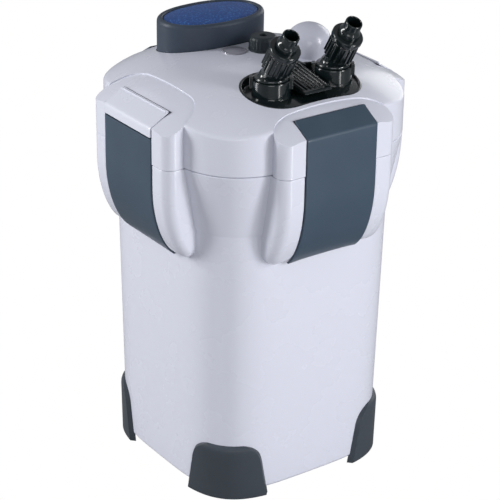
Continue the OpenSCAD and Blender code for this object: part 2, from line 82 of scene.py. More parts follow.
class Bay(Enum):
    """The four clamp bays, each with its turn from +Y in degrees."""

    BACK = 0
    LEFT = 90
    FRONT = 180
    RIGHT = 270

    def at(self, across: float, out: float, up: float) -> Vector:
        """A point of this bay, from its distance across, out from the middle, and up."""
        turn = radians(self.value)
        c, s = cos(turn), sin(turn)
        return Vector((across * c - out * s, across * s + out * c, up))


# ---- curves shared by the mouldings
def around(count: int, shape: Callable[[float, float], tuple[float, float]]) -> Points:
    """Points round an outline at height zero, from the cosine and sine of each even step."""
    turns = [TAU * i / count for i in range(count)]
    return [Vector((*shape(cos(a), sin(a)), 0)) for a in turns]


def rounded_square(half: float, power: float) -> Points:
    """Points round a rounded square.

    Args:
        half: half-width across the flats.
        power: exponent of the outline; a higher one has tighter corners.

    Returns:
        The points at height zero.
    """
    def shape(c: float, s: float) -> tuple[float, float]:
        r = half / (abs(c) ** power + abs(s) ** power) ** (1 / power)
        return r * c, r * s

    return around(192, shape)


def oval(half_x: float, half_y: float) -> Points:
    """Points round the primer's oval, which is a little fuller than an ellipse."""
    return around(120, lambda c, s: (half_x * copysign(abs(c) ** 0.9, c),
                                     half_y * copysign(abs(s) ** 0.9, s)))


def stadium(half_x: float, half_y: float) -> Points:
    """Points round a stadium, spaced evenly by turn on its two round ends."""
    flat = half_x - half_y
    return around(120, lambda c, s: ((flat if c >= 0 else -flat) + half_y * c, half_y * s))


def circle(radius: float, count: int) -> Points:
    """Points round a circle at height zero."""
    return around(count, lambda c, s: (radius * c, radius * s))


def evenly(start: float, end: float, count: int) -> list[float]:
    """Even steps from start, which is left out, to end."""
    return [start + (end - start) * i / count for i in range(1, count + 1)]


def arc(share: float) -> float:
    """Height of a unit quarter circle at a share of its width."""
    return sqrt(max(0.0, 1 - share ** 2))


# ---- bmesh helpers
class Skin:
    """A closed skin that is pulled ring by ring out of one circle."""

    def __init__(self, count: int) -> None:
        """Start from a circle of count vertices, each of which keeps its number."""
        self.bm = bmesh.new()
        self.number = self.bm.verts.layers.int.new("number")
        made = bmesh.ops.create_circle(self.bm, cap_ends=False, segments=count, radius=1.0)["verts"]
        for i, v in enumerate(made):
            v[self.number] = i
        self.edges = list(self.bm.edges)
        self.begun = False

    def ring(self, points: Sequence[Vector]) -> "Skin":
        """Pull the last ring on to these points; the first call only places the circle."""
        verts = list(self.bm.verts)
        if self.begun:
            geom = bmesh.ops.extrude_edge_only(self.bm, edges=self.edges)["geom"]
            verts = [g for g in geom if isinstance(g, bmesh.types.BMVert)]
            self.edges = [g for g in geom if isinstance(g, bmesh.types.BMEdge) and g.is_boundary]
        for v in verts:
            v.co = points[v[self.number]]
        self.begun = True
        return self

    def cap(self) -> "Skin":
        """Close the last ring with a face."""
        bmesh.ops.edgeloop_fill(self.bm, edges=self.edges)
        return self


def skin(rings: Iterable[Sequence[Vector]]) -> Solid:
    """A closed solid through these rings, with a face on each end."""
    rings = list(rings)
    made = Skin(len(rings[0]))
    made.ring(rings[0]).cap()
    for ring in rings[1:]:
        made.ring(ring)
    made.cap()
    return made.bm


def raised(points: Sequence[Vector], up: float | Callable[[Vector], float]) -> Points:
    """Points moved to a height, or to the height that a function gives for each."""
    return [Vector((p.x, p.y, up(p) if callable(up) else up)) for p in points]


def lathe(profile: Sequence[tuple[float, float]], steps: int = 72) -> Solid:
    """A profile of (radius, height) spun once round the Z axis."""
    bm = bmesh.new()
    verts = [bm.verts.new((r, 0, z)) for r, z in profile]
    edges = [bm.edges.new(pair) for pair in zip(verts, verts[1:])]
    bmesh.ops.spin(bm, geom=verts + edges, cent=(0, 0, 0), axis=(0, 0, 1), angle=TAU, steps=steps,
                   use_merge=True)
    bmesh.ops.remove_doubles(bm, verts=bm.verts, dist=1e-4)
    bmesh.ops.dissolve_degenerate(bm, edges=bm.edges, dist=1e-4)
    return bm


def block(size: Vector, centre: Vector, width: float = 0.6) -> Solid:
    """A block with rounded edges."""
    bm = bmesh.new()
    bmesh.ops.create_cube(bm, size=1.0)
    bmesh.ops.scale(bm, vec=size, verts=bm.verts)
    bmesh.ops.translate(bm, vec=centre, verts=bm.verts)
    soften(bm, width, segments=3)
    return bm


def bevel(bm: Solid, edges: Sequence[bmesh.types.BMEdge], width: float, segments: int) -> None:
    """Round these edges."""
    bmesh.ops.bevel(bm, geom=edges, offset=width, offset_type="OFFSET", segments=segments, profile=0.5,
                    affect="EDGES", clamp_overlap=True, material=-1)


def sharp_edges(bm: Solid, angle: float) -> list[bmesh.types.BMEdge]:
    """Every edge that turns by more than angle degrees."""
    return [e for e in bm.edges if len(e.link_faces) == 2 and e.calc_face_angle(0.0) > radians(angle)]


def soften(bm: Solid, width: float, angle: float = 35.0, segments: int = 2) -> None:
    """Round every edge that turns by more than angle degrees."""
    bevel(bm, sharp_edges(bm, angle), width, segments)


def stored(bm: Solid, name: str) -> bpy.types.Mesh:
    """A bmesh as mesh data; the bmesh is used up."""
    mesh = bpy.data.meshes.new(name)
    bm.to_mesh(mesh)
    bm.free()
    return mesh


def placed(name: str, data: bpy.types.ID) -> bpy.types.Object:
    """A new object in the scene."""
    made = bpy.data.objects.new(name, data)
    bpy.context.scene.collection.objects.link(made)
    return made


def join(parts: Sequence[Solid]) -> Solid:
    """Several solids as one mesh."""
    whole = bmesh.new()
    for part in parts:
        bmesh.ops.recalc_face_normals(part, faces=part.faces)
        scratch = stored(part, "scratch")
        whole.from_mesh(scratch)
        bpy.data.meshes.remove(scratch)
    return whole


def moved(bm: Solid, matrix: Matrix) -> Solid:
    """The same mesh after a transform."""
    bmesh.ops.transform(bm, matrix=matrix, verts=bm.verts)
    return bm


def stood(at: Vector) -> Matrix:
    """A move over a place on the floor plan."""
    return Matrix.Translation((at.x, at.y, 0))


def turned(degrees: float, axis: str = "Z") -> Matrix:
    """A turn about an axis."""
    return Matrix.Rotation(radians(degrees), 4, axis)


def carve(bm: Solid, tool: Solid) -> Solid:
    """Cut a tool's shape out of a solid.

    Args:
        bm: the solid.
        tool: the solid that is taken away.

    Returns:
        A new mesh; both inputs are used up.
    """
    made = []
    for part in (bm, tool):
        bmesh.ops.recalc_face_normals(part, faces=part.faces)
        made.append(placed("carving", stored(part, "carving")))
    cut = made[0].modifiers.new("cut", "BOOLEAN")
    cut.operation, cut.solver, cut.object = "DIFFERENCE", "EXACT", made[1]
    graph = bpy.context.evaluated_depsgraph_get()
    result = bmesh.new()
    result.from_mesh(made[0].evaluated_get(graph).to_mesh())
    for obj in made:
        mesh = obj.data
        bpy.data.objects.remove(obj)
        bpy.data.meshes.remove(mesh)
    return result


# ---- shader effects
@dataclass
class Graph:
    """A node tree, with the few moves that the finishes make in it."""

    tree: Tree

    def new(self, kind: str) -> Node:
        """A new node."""
        return self.tree.nodes.new(kind)

    def feed(self, value: Value | Colour, socket: Socket) -> None:
        """Join a socket to another one, or set its number or colour."""
        if isinstance(value, Socket):
            self.tree.links.new(value, socket)
        else:
            socket.default_value = (*value, 1.0) if isinstance(value, tuple) else value

    def noise(self, vector: Socket, scale: Value, detail: float) -> Socket:
        """A noise texture's value."""
        node = self.new("ShaderNodeTexNoise")
        for label, value in (("Vector", vector), ("Scale", scale), ("Detail", detail)):
            self.feed(value, node.inputs[label])
        return node.outputs["Fac"]

    def maths(self, kind: str, a: Value, b: Value) -> Socket:
        """A math node's value."""
        node = self.new("ShaderNodeMath")
        node.operation = kind
        self.feed(a, node.inputs[0])
        self.feed(b, node.inputs[1])
        return node.outputs[0]

    def remap(self, value: Socket, *ends: float) -> Socket:
        """A value moved smoothly from one range to another.

        Args:
            value: the value.
            ends: both ends of its range, then of the new one if that is not 0 to 1.

        Returns:
            The new value.
        """
        node = self.new("ShaderNodeMapRange")
        node.interpolation_type = "SMOOTHSTEP"
        self.feed(value, node.inputs["Value"])
        for label, number in zip(("From Min", "From Max", "To Min", "To Max"), ends):
            node.inputs[label].default_value = number
        return node.outputs["Result"]

    def blend(self, amount: Socket, a: Socket | Colour, b: Socket | Colour) -> Socket:
        """Mix of two colours by an amount."""
        node = self.new("ShaderNodeMix")
        node.data_type = "RGBA"
        for index, value in ((0, amount), (6, a), (7, b)):
            self.feed(value, node.inputs[index])
        return node.outputs[2]


class Effects:
    """Node groups that more than one finish uses, each built once."""

    made: dict[str, Tree] = {}

    @classmethod
    def group(cls, name: str, inputs: Sequence[str], outputs: Sequence[str],
              fill: Callable[[Graph, Node, Node], None]) -> Tree:
        """Build a group on first use.

        Args:
            name: the group's name.
            inputs: names of the float inputs that it has beside Vector.
            outputs: names of the float outputs.
            fill: makes the nodes between the group's input and output.

        Returns:
            The node group.
        """
        if name not in cls.made:
            tree = bpy.data.node_groups.new(name, "ShaderNodeTree")
            tree.interface.new_socket("Vector", in_out="INPUT", socket_type="NodeSocketVector")
            for way, labels in (("INPUT", inputs), ("OUTPUT", outputs)):
                for label in labels:
                    tree.interface.new_socket(label, in_out=way, socket_type="NodeSocketFloat")
            g = Graph(tree)
            fill(g, g.new("NodeGroupInput"), g.new("NodeGroupOutput"))
            cls.made[name] = tree
        return cls.made[name]

    @classmethod
    def moulding(cls) -> Tree:
        """Fine surface texture and slow flow marks of an injection moulding."""

        def fill(g: Graph, start: Node, end: Node) -> None:
            where = start.outputs["Vector"]
            g.feed(g.noise(where, start.outputs["Grain"], 4.0), end.inputs["Height"])
            g.feed(g.remap(g.noise(where, 22.0, 4.0), 0.2, 0.8), end.inputs["Mottle"])

        return cls.group("moulding", ("Grain",), ("Height", "Mottle"), fill)

    @classmethod
    def wear(cls) -> Tree:
        """Where handling has polished and scuffed the raised edges."""

        def fill(g: Graph, start: Node, end: Node) -> None:
            edge = g.remap(g.new("ShaderNodeNewGeometry").outputs["Pointiness"], 0.53, 0.62)
            patch = g.remap(g.noise(start.outputs["Vector"], 60.0, 5.0), 0.42, 0.66)
            g.feed(g.maths("MULTIPLY", edge, patch), end.inputs["Mask"])

        return cls.group("edge_wear", (), ("Mask",), fill)

    @classmethod
    def dust(cls) -> Tree:
        """Fine dust that settles on faces that look up."""

        def fill(g: Graph, start: Node, end: Node) -> None:
            parts = g.new("ShaderNodeSeparateXYZ")
            g.feed(g.new("ShaderNodeNewGeometry").outputs["Normal"], parts.inputs[0])
            facing = g.remap(parts.outputs["Z"], 0.45, 1.0)
            patch = g.remap(g.noise(start.outputs["Vector"], 45.0, 6.0), 0.35, 0.75)
            g.feed(g.maths("MULTIPLY", facing, patch), end.inputs["Mask"])

        return cls.group("settled_dust", (), ("Mask",), fill)


# ---- finishes
@dataclass(frozen=True)
class Finish:
    """A moulded plastic; the other finishes change its pattern."""

    name: str
    slot: str
    base: Colour
    roughness: float = 0.3
    mottle: float = 0.04
    grain: float = 900.0
    depth: float = 0.04
    wear: float = 0.15
    dust: float = 0.06
    coat: float = 0.0
    metallic: float = 0.0
    sheen: float = 0.0
    transmission: float = 0.0
    gloss: float = 0.5

    def material(self) -> bpy.types.Material:
        """The finish's material, made on first use."""
        return bpy.data.materials.get(f"{self.name}_finish") or self.build()

    def shade(self, share: float, lift: Colour = (0.0, 0.0, 0.0)) -> Colour:
        """The base colour times a share, plus a lift."""
        return tuple(min(1.0, c * share + k) for c, k in zip(self.base, lift))

    def pattern(self, g: Graph, where: Socket, colour: Socket) -> Socket:
        """Colour after this finish's own pattern; plain plastic has none."""
        return colour

    def height(self, g: Graph, where: Socket, value: Socket) -> Socket:
        """Bump height after this finish's own relief; plain plastic has none."""
        return value

    def build(self) -> bpy.types.Material:
        """Make the node tree.

        Returns:
            The material.
        """
        made = bpy.data.materials.new(f"{self.name}_finish")
        made.use_nodes = True
        g = Graph(made.node_tree)
        shader = made.node_tree.nodes["Principled BSDF"]
        where = g.new("ShaderNodeTexCoord").outputs["Object"]

        def effect(group: Tree) -> Node:
            node = g.new("ShaderNodeGroup")
            node.node_tree = group
            g.feed(where, node.inputs["Vector"])
            return node

        marks = effect(Effects.moulding())
        marks.inputs["Grain"].default_value = self.grain
        mottle = marks.outputs["Mottle"]
        worn = g.maths("MULTIPLY", effect(Effects.wear()).outputs["Mask"], self.wear)
        dusty = g.maths("MULTIPLY", effect(Effects.dust()).outputs["Mask"], self.dust)
        colour = g.blend(mottle, self.shade(1 - self.mottle), self.shade(1 + self.mottle))
        # the pattern adds flecks, and for porous finishes painted shade in the pits
        colour = self.pattern(g, where, colour)
        colour = g.blend(worn, colour, self.shade(0.6, (0.28, 0.28, 0.28)))
        colour = g.blend(dusty, colour, DUST)
        g.feed(colour, shader.inputs["Base Color"])
        rough = g.remap(mottle, 0.0, 1.0, self.roughness * 0.96, self.roughness * 1.05)
        rough = g.maths("ADD", rough, g.maths("MULTIPLY", dusty, 0.8))
        g.feed(rough, shader.inputs["Roughness"])
        bump = g.new("ShaderNodeBump")
        bump.inputs["Strength"].default_value = self.depth
        bump.inputs["Distance"].default_value = BUMP_HEIGHT
        g.feed(self.height(g, where, marks.outputs["Height"]), bump.inputs["Height"])
        g.feed(bump.outputs["Normal"], shader.inputs["Normal"])
        shader.inputs["Specular IOR Level"].default_value = self.gloss
        shader.inputs["Metallic"].default_value = self.metallic
        shader.inputs["Coat Weight"].default_value = self.coat
        shader.inputs["Coat Roughness"].default_value = 0.12
        shader.inputs["Sheen Weight"].default_value = self.sheen
        shader.inputs["Transmission Weight"].default_value = self.transmission
        made.diffuse_color = (*self.base, 1.0)
        return made


@dataclass(frozen=True)
class Speckled(Finish):
    """Soft-touch plastic with pale and dark flecks."""

    flecks: float = 520.0
    lift: Colour = (0.03, 0.12, 0.32)

    def pattern(self, g: Graph, where: Socket, colour: Socket) -> Socket:
        """Scatter two sizes of flecks over the colour."""
        big = g.remap(g.noise(where, self.flecks, 1.0), 0.53, 0.66)
        small = g.remap(g.noise(where, self.flecks * 2.3, 1.0), 0.55, 0.7)
        return g.blend(small, g.blend(big, colour, self.shade(0.4, self.lift)), self.shade(0.4))


@dataclass(frozen=True)
class Porous(Finish):
    """Sponge, wool or bare ceramic: pits all over the surface, with painted shade in them."""

    cell: float = 420.0

    def pattern(self, g: Graph, where: Socket, colour: Socket) -> Socket:
        """Painted shade: darken the pits."""
        # painted shade: the colour is darkened towards shade(0.25) where the pits sink, standing in for the
        # shade inside them
        return g.blend(g.remap(self.cells(g, where), 0.0, 0.5, 0.75, 0.0), colour, self.shade(0.25))

    def height(self, g: Graph, where: Socket, value: Socket) -> Socket:
        """Sink the pits."""
        return g.maths("ADD", value, self.cells(g, where))

    def cells(self, g: Graph, where: Socket) -> Socket:
        """Distance from the middle of the nearest pit."""
        node = g.new("ShaderNodeTexVoronoi")
        node.inputs["Scale"].default_value = self.cell
        g.feed(where, node.inputs["Vector"])
        return node.outputs["Distance"]


@dataclass(frozen=True)
class Drawn(Finish):
    """Drawn or wound metal: fine lines round the Z axis."""

    def height(self, g: Graph, where: Socket, value: Socket) -> Socket:
        """Add fine bands along Z."""
        node = g.new("ShaderNodeTexWave")
        node.bands_direction = "Z"
        node.inputs["Scale"].default_value = 700.0
        node.inputs["Distortion"].default_value = 2.0
        g.feed(where, node.inputs["Vector"])
        return g.maths("ADD", value, node.outputs["Fac"])


WHITE = (0.71, 0.725, 0.82)
SHELL = Finish("shell_plastic", "canister_plastic", WHITE, 0.27, 0.004, 420.0, 0.018, 0.05, 0.02, 0.25)
HEAD = Finish("head_plastic", "head_plastic", WHITE, 0.25, 0.004, 420.0, 0.018, 0.05, 0.03, 0.3)
CLAMP = Finish("clamp_plastic", "clamp_plastic", (0.05, 0.078, 0.112), 0.38, 0.05, 800.0, 0.05, 0.1, 0.01,
               0.1, gloss=0.22)
FOOT = Finish("foot_plastic", "foot_plastic", (0.052, 0.063, 0.077), 0.42, 0.05, 1200.0, 0.1, 0.1, 0.01,
              gloss=0.25)
VALVE = Finish("valve_plastic", "valve_plastic", (0.006, 0.011, 0.012), 0.16, 0.06, 600.0, 0.02, 0.08, 0.004,
               0.3)
PRIMER = Finish("primer_plastic", "primer_plastic", (0.045, 0.06, 0.085), 0.42, 0.05, 1200.0, 0.1, 0.1, 0.01,
                gloss=0.22)
PAD = Speckled("primer_pad_plastic", "primer_pad", (0.022, 0.07, 0.25), 0.5, 0.1, 900.0, 0.22, 0.0, 0.01,
               gloss=0.3)
LAMP_CAP = Finish("lamp_cap_plastic", "uv_cap_plastic", (0.52, 0.53, 0.62), 0.32, 0.03, 500.0, 0.02, 0.05,
                  0.04, 0.3)
LENS = Finish("lens_plastic", "lens_plastic", (0.3, 0.3, 0.35), 0.18, 0.05, 500.0, 0.01, 0.0, 0.03, 0.6)
GLAND = Finish("gland_plastic", "gland_plastic", (0.02, 0.028, 0.034), 0.42, 0.05, 1100.0, 0.08, 0.1, 0.01,
               gloss=0.25)
INNER = Finish("inner_plastic", "inner_plastic", (0.36, 0.38, 0.4), 0.4, 0.03, 900.0, 0.05)
NATURAL = Finish("natural_plastic", "ball_plastic", (0.72, 0.7, 0.64), 0.35, 0.03, 900.0, 0.04)
RUBBER = Finish("seal_rubber", "seal_rubber", (0.012, 0.012, 0.013), 0.62, 0.1, 1500.0, 0.15)
STEEL = Drawn("steel", "steel", (0.58, 0.59, 0.6), 0.28, 0.03, 900.0, 0.05, metallic=1.0)
WINDING = Drawn("winding", "winding", (0.6, 0.28, 0.14), 0.35, 0.08, 900.0, 0.4, metallic=1.0)
MAGNET = Drawn("magnet", "magnet", (0.07, 0.07, 0.075), 0.5, 0.1, 900.0, 0.2)
CERAMIC = Porous("ceramic", "ceramic", (0.62, 0.5, 0.42), 0.8, 0.1, 600.0, 0.5)
SPONGE = Porous("coarse_sponge", "coarse_sponge", (0.03, 0.07, 0.14), 0.9, 0.15, 500.0, 1.0, sheen=0.2)
WOOL = Porous("fine_wool", "fine_wool", (0.8, 0.8, 0.78), 0.95, 0.04, 900.0, 0.8, sheen=0.4, cell=900.0)
GLASS = Finish("lamp_glass", "lamp_glass", (0.85, 0.92, 0.95), 0.05, 0.02, 200.0, 0.01, 0.0, 0.0,
               transmission=0.9)
FINISHES = (SHELL, HEAD, CLAMP, FOOT, VALVE, PRIMER, PAD, LAMP_CAP, LENS, GLAND, INNER, NATURAL, RUBBER,
            STEEL, WINDING, MAGNET, CERAMIC, SPONGE, WOOL, GLASS)


def settle(bm: Solid, name: str, body: str, finish: Finish, nodes: Sequence[str] = (),
           sharp: float = 38.0) -> bpy.types.Object:
    """Turn a mesh in millimetres into a finished piece.

    Args:
        bm: the mesh, which is used up.
        name: the piece's name.
        body: the CAD body that the piece rides on.
        finish: its finish.
        nodes: the CAD nodes that it stands for.
        sharp: edges that turn by more than this many degrees stay sharp.

    Returns:
        The new object.
    """
    bmesh.ops.remove_doubles(bm, verts=bm.verts, dist=1e-3)
    bmesh.ops.recalc_face_normals(bm, faces=bm.faces)
    bmesh.ops.scale(bm, vec=(MM, MM, MM), verts=bm.verts)
    mesh = stored(bm, name)
    mesh.shade_smooth()
    mesh.set_sharp_from_angle(angle=radians(sharp))
    piece = placed(name, mesh)
    mesh.materials.append(finish.material())
    even = piece.modifiers.new("even_shading", "WEIGHTED_NORMAL")
    even.keep_sharp = True
    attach(piece, body)
    if nodes:
        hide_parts(*nodes)
    LOG.info("%s: %d faces on %s", name, len(mesh.polygons), body)
    return piece


# ---- the body
@dataclass
class Form:
    """Sizes that the head, canister and clamps share, read from the frame."""

    seam: float = high("canister").z
    floor: float = low("canister").z
    head_low: float = low("head_cover").z
    dome_top: float = high("head_cover").z
    bay_front: float = high("canister").y
    clamp_face: float = high("clamp_back").y
    clamp_low: float = low("clamp_back").z
    clamp_half: float = high("clamp_back").x
    head_half: float = 123.0
    bay_half: float = 64.0
    pocket_half: float = 40.0
    arch_flat: float = 34.0
    arch_out: float = 125.0
    corner: float = 11.0
    plate_back: float = 119.8
    plate_front: float = 377.5
    slope: float = 0.594
    curl_top: float = 320.0
    curl_height: float = 80.0
    curl_depth: float = 43.0
    dome_fall: float = 28.0
    dome_reach: float = 143.8
    pivot_out: float = 122.5
    pivot_up: float = 382.4

    def dome(self, p: Vector | float) -> float:
        """Height of the domed top over a point or at a radius."""
        r = p if isinstance(p, (int, float)) else hypot(p.x, p.y)
        return self.dome_top - self.dome_fall * (r / self.dome_reach) ** 3

    def curl(self, z: float) -> float:
        """How far pillars and clamps curl in at a height."""
        return self.curl_depth * (1 - arc(max(0.0, self.curl_top - z) / self.curl_height))

    def arch_back(self, bay: Bay) -> float:
        """Distance out from the middle to a bay's back edge."""
        return {Bay.FRONT: 109.0, Bay.BACK: 113.0}.get(bay, 94.0)

    def half_at(self, out: float, bay: Bay) -> float:
        """Half-width of a bay at a distance out from the middle."""
        if out < self.arch_out:
            deep = self.arch_out - self.arch_back(bay)
            return self.arch_flat + (self.bay_half - self.arch_flat) * arc((self.arch_out - out) / deep)
        start = self.bay_front - self.corner
        return self.bay_half - self.corner + self.corner * arc(max(0.0, out - start) / self.corner)

    def bay_top(self, across: float, out: float) -> float:
        """Height of a bay's sloping top, blended into a surface just under the dome."""
        slope = self.plate_front - 0.5 + self.slope * (self.bay_front - out)
        soft = 1.2
        under = self.dome(hypot(across, out)) - soft
        mix = max(0.0, soft - abs(slope - under)) / soft
        return min(slope, under) - mix * mix * soft * 0.25


@dataclass
class Canister:
    """The canister: tapered body, collar, pillars and corner feet."""

    form: Form
    low_half: float = 106.4
    high_half: float = 110.8
    body_power: float = 3.85
    collar_power: float = 3.55
    collar_half: float = 112.95
    collar_low: float = 282.2
    pillar_low: float = 249.0

    def shell(self) -> None:
        """Pull the body and collar up from the floor."""
        f = self.form
        b, c = self.body_power, self.collar_power
        rings = [(30, 0, b), (103.6, 0, b), (105.2, 0.5, b), (106.0, 1.6, b), (self.low_half, 3.4, b)]
        outline = [raised(rounded_square(h, p), f.floor + z) for h, z, p in rings]
        for half, up in zip(evenly(self.low_half, self.high_half, 12), evenly(10.4, 278.0, 12)):
            outline.append(raised(rounded_square(half, b), up))
        step = [(111.0, 278.9, 3.8), (111.7, 279.7, 3.7), (112.5, 280.7, 3.6),
                (self.collar_half, self.collar_low, c)]
        outline += [raised(rounded_square(h, p), z) for h, z, p in step]
        for half, up in zip(evenly(self.collar_half, f.head_half - 0.05, 8),
                            evenly(self.collar_low, f.seam - 1.1, 8)):
            outline.append(raised(rounded_square(half, c), up))
        lip = [(f.head_half - 0.15, f.seam - 0.5), (f.head_half - 0.5, f.seam - 0.12),
               (f.head_half - 1.1, f.seam), (108.0, f.seam), (106.4, f.seam - 0.5), (106.3, f.seam - 1.5),
               (106.3, f.seam - 14.0), (105.6, 282.0), (103.2, f.floor + 7.0), (102.4, f.floor + 4.0),
               (100.0, f.floor + 3.2)]
        outline += [raised(rounded_square(h, c), z) for h, z in lip]
        settle(skin(outline), "canister_shell", "base", SHELL, ("canister",))

    def pillar(self, bay: Bay, side: int) -> Solid:
        """One curled pillar below the seam.

        Args:
            bay: the bay it stands in.
            side: -1 or 1, the side of the clamp.

        Returns:
            The pillar's mesh.
        """
        f, bottom, toe = self.form, self.pillar_low, 13
        heights = [(f.seam, 0.9), (f.seam - 0.25, 0.3), (f.seam - 0.9, 0.0)]
        heights += [(z, 0.0) for z in evenly(f.seam - 0.9, bottom + toe, 22)]
        heights += [(bottom + toe - toe * sin(radians(a)), 0.0)
                    for a in (12, 24, 36, 48, 58, 68, 76, 83, 88)]
        rings = []
        for z, inset in heights:
            shrink = inset + 12 * (1 - arc(max(0.0, bottom + toe - z) / toe))
            inner, outer = f.pocket_half + shrink, f.bay_half - shrink
            front = f.bay_front - f.curl(z) - inset
            if z < bottom + 8:
                front -= 3.4 * ((bottom + 8 - z) / 8) ** 2
            small = min(1.4, (outer - inner) / 4)
            big = min(f.corner, (outer - inner) * 0.46)
            plan = [(inner, 100.0), (inner, front - small - 6), (inner, front - small)]
            for a in (radians(k) for k in (22, 45, 68, 90)):
                plan.append((inner + small - small * cos(a), front - small + small * sin(a)))
            for a in (radians(k) for k in range(0, 91, 9)):
                plan.append((outer - big + big * sin(a), front - big + big * cos(a)))
            plan += [(outer, 100.0)]
            rings.append([bay.at(side * t, n, z) for t, n in plan])
        return skin(rings)

    def foot(self, turn: float) -> Solid:
        """One corner foot, centred on a diagonal at turn degrees."""
        heights = [(0.0, 0.9), (0.3, 0.3), (1.0, 0.0)] + [(4.0 + 4 * i, 0.0) for i in range(10)]
        heights += [(44, 0), (48, 0), (51, 0), (53.5, 0.15), (55.2, 0.6), (56.6, 1.4), (57.5, 2.4),
                    (58.0, 3.6)]
        rings = []
        for z, thin in heights:
            half = 39.0 - 6.0 * min(1.0, z / 44)
            half -= 19.0 * (1 - arc(max(0.0, z - 41) / 17.2))
            body = self.low_half + 4.4 * z / 273
            outer, inner = [], []
            for k in range(25):
                s = half * (-1 + k / 12)
                for offset, side in ((body + 4.2 - thin, outer), (body - 1.0, inner)):
                    a = 0.0
                    for _ in range(4):
                        c, t = cos(a + pi / 4), sin(a + pi / 4)
                        r = offset / (abs(c) ** 3.7 + abs(t) ** 3.7) ** (1 / 3.7)
                        a = asin(s / r)
                    side.append(Vector((r * cos(a), r * sin(a), z)))
            rings.append(outer + inner[::-1])
        bm = skin(rings)
        soften(bm, 0.7, 50, 2)
        return moved(bm, turned(turn))

    def build(self) -> None:
        """Make the canister's pieces."""
        self.shell()
        for bay in Bay:
            lug = moved(block(Vector((44, 17, 8)), Vector((0, 120.5, 326)), 0.8), turned(bay.value))
            group = join([self.pillar(bay, -1), self.pillar(bay, 1), lug])
            settle(group, f"pillars_{bay.name.lower()}", "base", SHELL)
        for name, turn in (("front", 225), ("right", 315), ("back", 45), ("left", 135)):
            settle(self.foot(turn), f"corner_foot_{name}", "base", FOOT, (f"foot_{name}",))


@dataclass
class Head:
    """The motor head's cover: domed top, wall, and four clamp bays."""

    form: Form
    power: float = 3.55
    above: float = 440.0
    groove: float = 7.9

    def plan(self, bay: Bay) -> Points:
        """Outline of a bay's arch, as a loop that runs out past the front."""
        f = self.form
        back = f.arch_back(bay)
        side = []
        for i in range(25):
            out = f.arch_out - (f.arch_out - back) * cos(pi / 2 * i / 24)
            side.append((f.half_at(out, bay), out))
        side.append((f.bay_half, 160.0))
        return [bay.at(t, n, 0) for t, n in side] + [bay.at(-t, n, 0) for t, n in side[::-1]]

    def cutter(self, outline: Points, bottom: float) -> Solid:
        """A solid from a height up past the dome."""
        return skin([raised(outline, bottom), raised(outline, self.above)])

    def cover(self) -> None:
        """Make the dome and its wall, then cut its openings."""
        f = self.form
        base = rounded_square(f.head_half, self.power)

        def under(share: float, drop: float) -> Points:
            """A ring that lies under the dome by a drop."""
            return raised([p * share for p in base], lambda q: f.dome(q) - drop)

        rings = [under(share, 3.4) for share in (0.02, 0.14, 0.3, 0.46, 0.61, 0.74, 0.85, 0.94)]
        rings += [under(0.968, 6.0), raised([p * 0.97 for p in base], f.head_low)]
        for inset, z in ((1.1, 0.0), (0.5, 0.12), (0.15, 0.5), (0.0, 1.1), (0.0, 16.0)):
            rings.append(raised([p * (1 - inset / f.head_half) for p in base], f.head_low + z))
        for inset, drop in ((0.0, 2.2), (0.12, 1.35), (0.5, 0.62), (1.15, 0.18), (2.2, 0.0), (4.0, 0.0)):
            rings.append(under(1 - inset / f.head_half, drop))
        rings += [under(share, 0.0) for share in (0.94, 0.9, 0.85, 0.8, 0.74, 0.68, 0.61, 0.54, 0.46, 0.38,
                                                  0.3, 0.22, 0.14, 0.07, 0.02)]
        bm = skin(rings)
        tools = [self.cutter(self.plan(bay), 300.0) for bay in Bay]
        tray, cap = middle("valve_tray"), middle("prime_cap")
        reach = (high("valve_tray") - low("valve_tray")) / 2
        across = (high("prime_cap") - low("prime_cap")) / 2
        for points, at, bottom in ((stadium(reach.x + 0.35, 34.35), Vector((tray.x, ValveBlock.y, 0)), 392.0),
                                   (oval(across.x + 0.7, across.y + 0.7), cap, 388.0)):
            tools.append(moved(self.cutter(points, bottom), stood(at)))
        bm = carve(bm, join(tools))
        rim = [e for e in sharp_edges(bm, 50) if min(v.co.z for v in e.verts) > 372]
        bevel(bm, rim, 0.55, 2)
        settle(bm, "head_dome", "base", HEAD, ("head_cover",), 32.0)

    def bay(self, bay: Bay) -> None:
        """Make one bay: its back, both pillars and the sloping top."""
        f = self.form
        back = f.arch_back(bay)
        bm = bmesh.new()
        bmesh.ops.create_grid(bm, x_segments=56, y_segments=44, size=1.0)
        for v in bm.verts:
            out = back + (f.bay_front - back) * (0.5 - 0.5 * cos(pi * (v.co.y + 1) / 2))
            across = v.co.x * (f.half_at(out, bay) + 0.02)
            v.co = bay.at(across, out, f.bay_top(across, out))
        geom = bmesh.ops.extrude_face_region(bm, geom=list(bm.faces), use_keep_orig=True)["geom"]
        for v in geom:
            if isinstance(v, bmesh.types.BMVert):
                v.co.z = f.head_low
        soften(bm, 1.1, 40, 3)
        wide, back, out = f.pocket_half, 119.2, 170.0
        box = [bay.at(t, n, 0) for t, n in ((wide, back), (wide, out), (-wide, out), (-wide, back))]
        bm = carve(bm, self.cutter(box, 300.0))
        sweep = lathe([(0, -wide), (self.groove, -wide), (self.groove, wide), (0, wide)], 64)
        pivot = Matrix.Translation((0, f.pivot_out, f.pivot_up))
        bm = carve(bm, moved(sweep, turned(bay.value) @ pivot @ ALONG_X))
        settle(bm, f"bay_{bay.name.lower()}", "base", HEAD, (), 30.0)

    def build(self) -> None:
        """Make the head's pieces."""
        self.cover()
        for bay in Bay:
            self.bay(bay)


